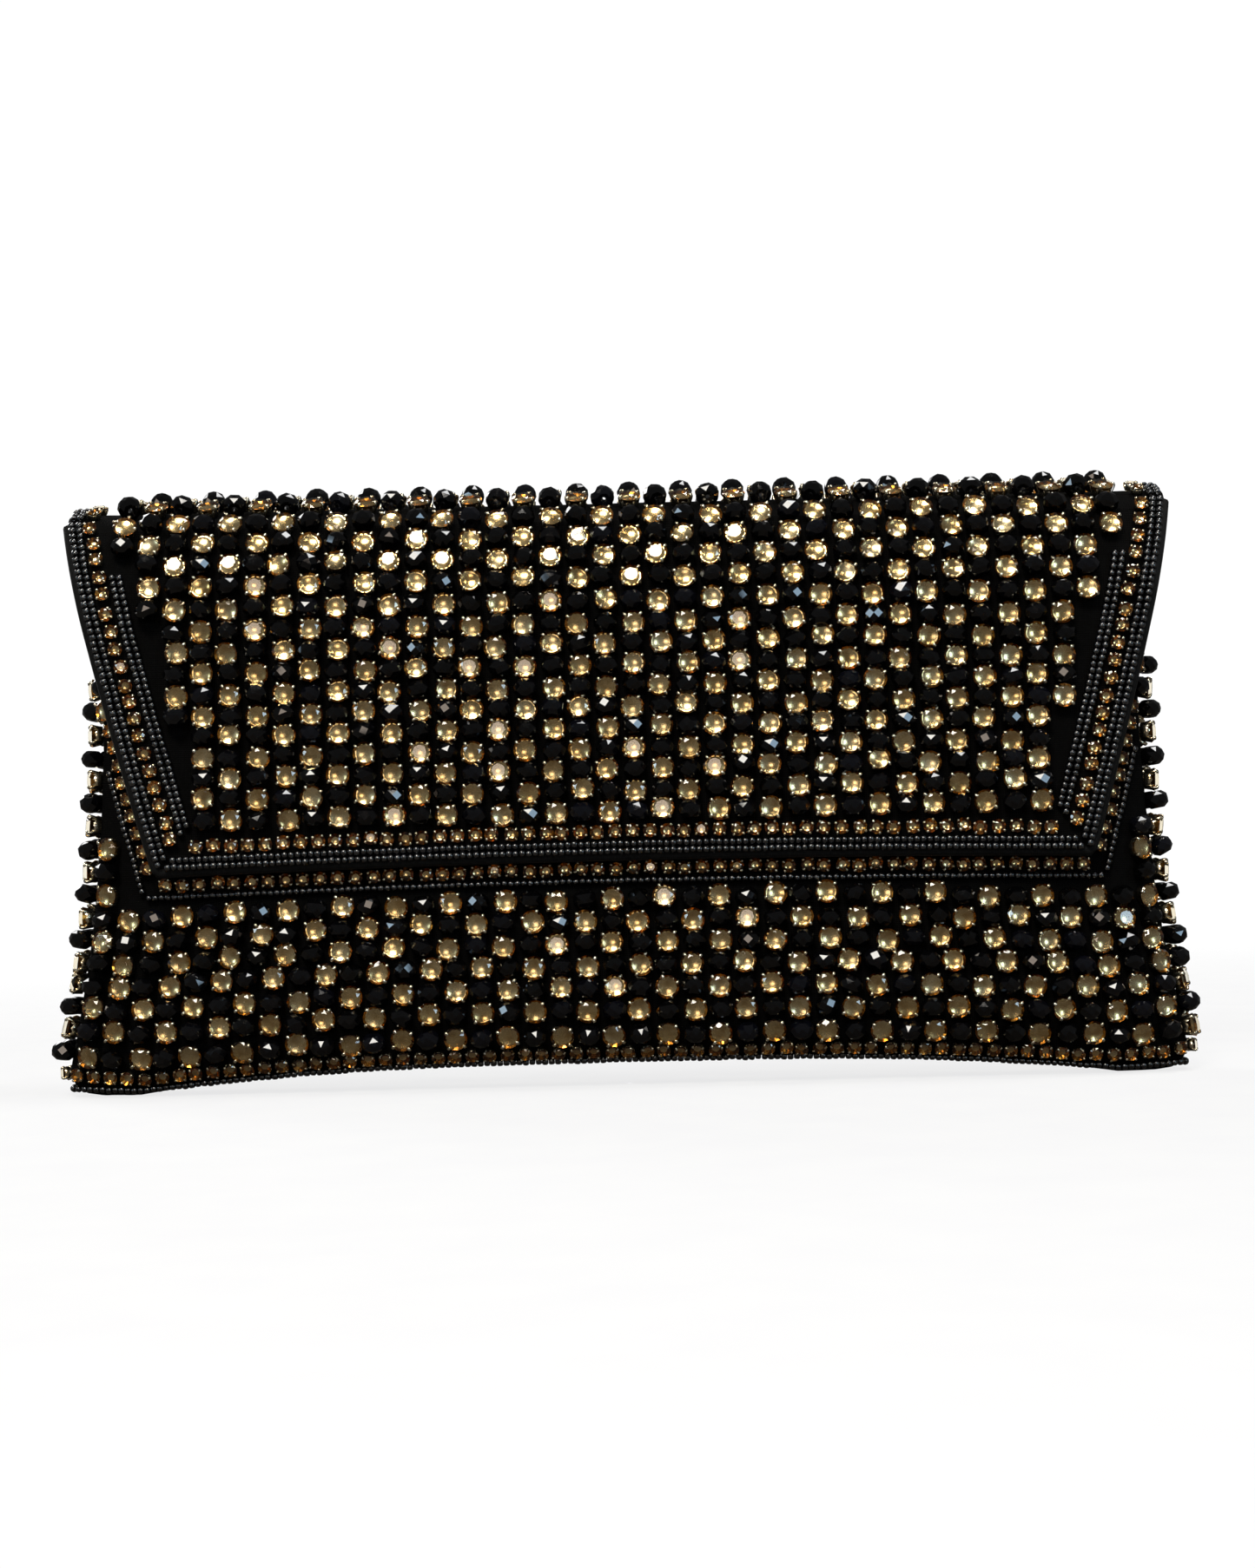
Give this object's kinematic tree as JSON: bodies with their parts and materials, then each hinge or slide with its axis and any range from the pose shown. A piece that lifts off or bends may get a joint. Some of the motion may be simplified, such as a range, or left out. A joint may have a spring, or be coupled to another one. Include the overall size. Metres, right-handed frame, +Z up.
{
  "type": "clutch purse",
  "caption": "Beaded envelope clutch purse with a fold-over flap, claw-set stones, faceted rondelles, seed-bead edging and a snap closure.",
  "frame": {"origin": "middle of the purse's footprint, on the surface it stands on", "axes": "+X along the purse to the viewer's right, -Y towards the flap side, +Z up"},
  "size_m": [0.251, 0.037, 0.1318],
  "materials": {
    "base_cloth": "matte",
    "binding": "satin",
    "lining": "satin",
    "board": "matte",
    "crystal": "polished",
    "setting": "polished",
    "rondelle": "polished",
    "seed": "polished",
    "snap": "polished"
  },
  "bodies": {
    "pouch": {"front_panel": "base_cloth", "front_board": "board", "front_lining": "lining", "back_panel": "base_cloth", "back_board": "board", "back_lining": "lining", "mouth_binding": "binding", "bottom_gusset": "binding", "snap_socket": "snap", "snap_socket_washer": "snap", "front_settings": "setting", "front_crystals": "crystal", "front_rondelles": "rondelle", "back_settings": "setting", "back_crystals": "crystal", "back_rondelles": "rondelle", "back_rest_rondelles": "rondelle", "border_chain_cups": "setting", "border_chain_crystals": "crystal", "border_seeds": "seed", "bottom_chain_cups": "setting", "bottom_chain_crystals": "crystal", "bottom_seeds": "seed"},
    "fold_1": {"fold_1_lining": "lining", "fold_1_cloth": "base_cloth", "fold_1_settings": "setting", "fold_1_crystals": "crystal", "fold_1_rondelles": "rondelle", "fold_1_seeds": "seed"},
    "fold_2": {"fold_2_lining": "lining", "fold_2_cloth": "base_cloth", "fold_2_settings": "setting", "fold_2_crystals": "crystal", "fold_2_rondelles": "rondelle", "fold_2_seeds": "seed"},
    "fold_3": {"fold_3_lining": "lining", "fold_3_cloth": "base_cloth", "fold_3_settings": "setting", "fold_3_crystals": "crystal", "fold_3_rondelles": "rondelle", "fold_3_seeds": "seed"},
    "fold_4": {"fold_4_lining": "lining", "fold_4_cloth": "base_cloth", "fold_4_settings": "setting", "fold_4_crystals": "crystal", "fold_4_rondelles": "rondelle", "fold_4_seeds": "seed"},
    "flap": {"flap_cloth": "base_cloth", "flap_board": "board", "flap_lining": "lining", "flap_binding": "binding", "snap_stud": "snap", "snap_stud_washer": "snap", "flap_settings": "setting", "flap_crystals": "crystal", "flap_rondelles": "rondelle", "flap_edge_seeds": "seed", "flap_lace_seeds": "seed", "flap_chain_cups": "setting", "flap_chain_crystals": "crystal"}
  },
  "joints": [
    {"name": "fold_hinge_1", "type": "hinge", "parent": "pouch", "child": "fold_1", "pos_m": [0, 0.01125, 0.119], "axis": [-1, 0, 0], "range_deg": [0, 30]},
    {"name": "fold_hinge_2", "type": "hinge", "parent": "fold_1", "child": "fold_2", "pos_m": [0, 0.0086, 0.12359], "axis": [-1, 0, 0], "range_deg": [0, 30]},
    {"name": "fold_hinge_3", "type": "hinge", "parent": "fold_2", "child": "fold_3", "pos_m": [0, 0.00401, 0.12624], "axis": [-1, 0, 0], "range_deg": [0, 30]},
    {"name": "fold_hinge_4", "type": "hinge", "parent": "fold_3", "child": "fold_4", "pos_m": [0, -0.00129, 0.12624], "axis": [-1, 0, 0], "range_deg": [0, 30]},
    {"name": "flap_hinge", "type": "hinge", "parent": "fold_4", "child": "flap", "pos_m": [0, -0.00588, 0.12359], "axis": [-1, 0, 0], "range_deg": [0, 30]}
  ],
  "couplings": [
    {"joint": "fold_hinge_1", "follows": "flap_hinge", "ratio": 1},
    {"joint": "fold_hinge_2", "follows": "flap_hinge", "ratio": 1},
    {"joint": "fold_hinge_3", "follows": "flap_hinge", "ratio": 1},
    {"joint": "fold_hinge_4", "follows": "flap_hinge", "ratio": 1}
  ]
}
